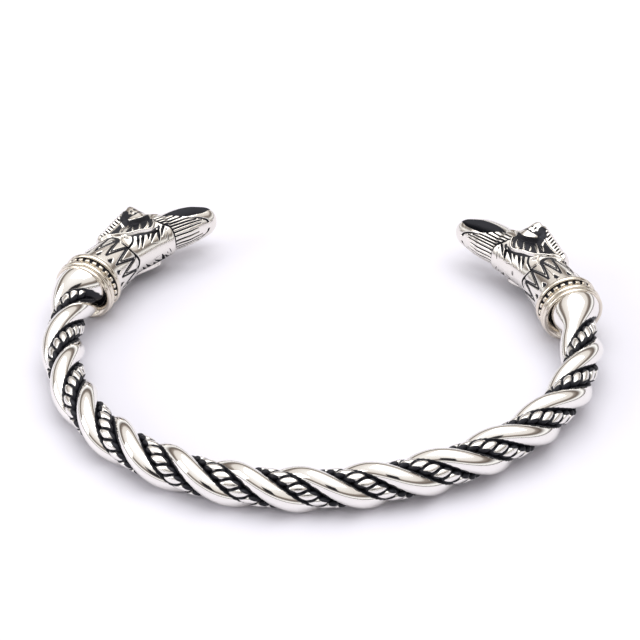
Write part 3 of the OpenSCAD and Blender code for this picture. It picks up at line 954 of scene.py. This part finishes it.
# Camera, as the photo was taken
view = {
    "azimuth": 4.5,
    "elevation": 38,
    "distance": 0.275,
    "aim": Vector((0, 0.0025, 0)),
    "lens": 119.0,
    "shiftX": -0.0033,
    "shiftY": 0.0644,
}
cameraData = bpy.data.cameras.new("camera")
camera = bpy.data.objects.new("camera", cameraData)
bpy.context.scene.collection.objects.link(camera)
bpy.context.scene.camera = camera
azimuth = math.radians(view["azimuth"])
elevation = math.radians(view["elevation"])
toCamera = Vector((math.sin(azimuth) * math.cos(elevation), -math.cos(azimuth) * math.cos(elevation),
                   math.sin(elevation)))
camera.location = view["aim"] + view["distance"] * toCamera
camera.rotation_euler = toCamera.to_track_quat("Z", "Y").to_euler()
cameraData.sensor_width = 36
cameraData.lens = view["lens"]
cameraData.shift_x = view["shiftX"]
cameraData.shift_y = view["shiftY"]
cameraData.clip_start = 0.01

# Floor of white paper
floorHalf = 2
floorData = bpy.data.meshes.new("floor")
corners = [(x * floorHalf, y * floorHalf, 0) for x, y in ((-1, -1), (1, -1), (1, 1), (-1, 1))]
floorData.from_pydata(corners, [], [(0, 1, 2, 3)])
floor = bpy.data.objects.new("floor", floorData)
bpy.context.scene.collection.objects.link(floor)
floorData.materials.append(plainMaterial("whitePaper", "#e4e3ec", 0.6))

# A tent of white cloth, bright from 34 degrees up and dim and brownish below
tentGlow = 1.15
tentColours = [
    (0.0, "#4a413c"), (0.15, "#564d47"), (0.36, "#665c55"), (0.48, "#8f867f"), (0.56, "#e0dbd6"),
    (1.0, "#ffffff"),
]
world = bpy.data.worlds.new("tent")
bpy.context.scene.world = world
world.use_nodes = True
tree = world.node_tree
tree.nodes.clear()
direction = addNode(tree, "ShaderNodeTexCoord").outputs["Generated"]
height = addNode(tree, "ShaderNodeSeparateXYZ", Vector=direction).outputs["Z"]
tent = addNode(tree, "ShaderNodeValToRGB", Fac=height)
for place, colour in tentColours:
    stop = tent.color_ramp.elements.new(place) if 0 < place < 1 else tent.color_ramp.elements[int(place)]
    stop.color = srgb(colour)
tent.color_ramp.interpolation = "EASE"
background = addNode(tree, "ShaderNodeBackground", Color=tent.outputs["Color"], Strength=tentGlow)
addNode(tree, "ShaderNodeOutputWorld", Surface=background.outputs[0])


def addSoftbox(name, place, size, power):
    data = bpy.data.lights.new(name, "AREA")
    data.shape = "RECTANGLE"
    data.size, data.size_y = size
    data.energy = power
    lamp = bpy.data.objects.new(name, data)
    bpy.context.scene.collection.objects.link(lamp)
    lamp.location = place
    lamp.rotation_euler = Vector(place).to_track_quat("Z", "Y").to_euler()


addSoftbox("overhead", place=(0.05, 0.1, 0.6), size=(0.7, 0.6), power=2.2)
addSoftbox("leftBox", place=(-0.6, -0.2, 0.35), size=(0.35, 0.35), power=1.2)

# A dark card behind the camera, below its line of sight, is the streak mirrored along the strands
card = {
    "elevation": 31,
    "distance": 0.33,
    "aside": 0.04,
    "size": 0.14,
}
low = math.radians(card["elevation"])
cardPlace = view["aim"] + card["distance"] * Vector((card["aside"], -math.cos(low), math.sin(low)))
bpy.ops.mesh.primitive_plane_add(size=card["size"], location=cardPlace, rotation=camera.rotation_euler)
darkCard = bpy.context.object
darkCard.name = "darkCard"
darkCard.data.materials.append(plainMaterial("darkCloth", "#1c1b1e", 0.9))

bpy.context.scene.view_settings.view_transform = "Standard"
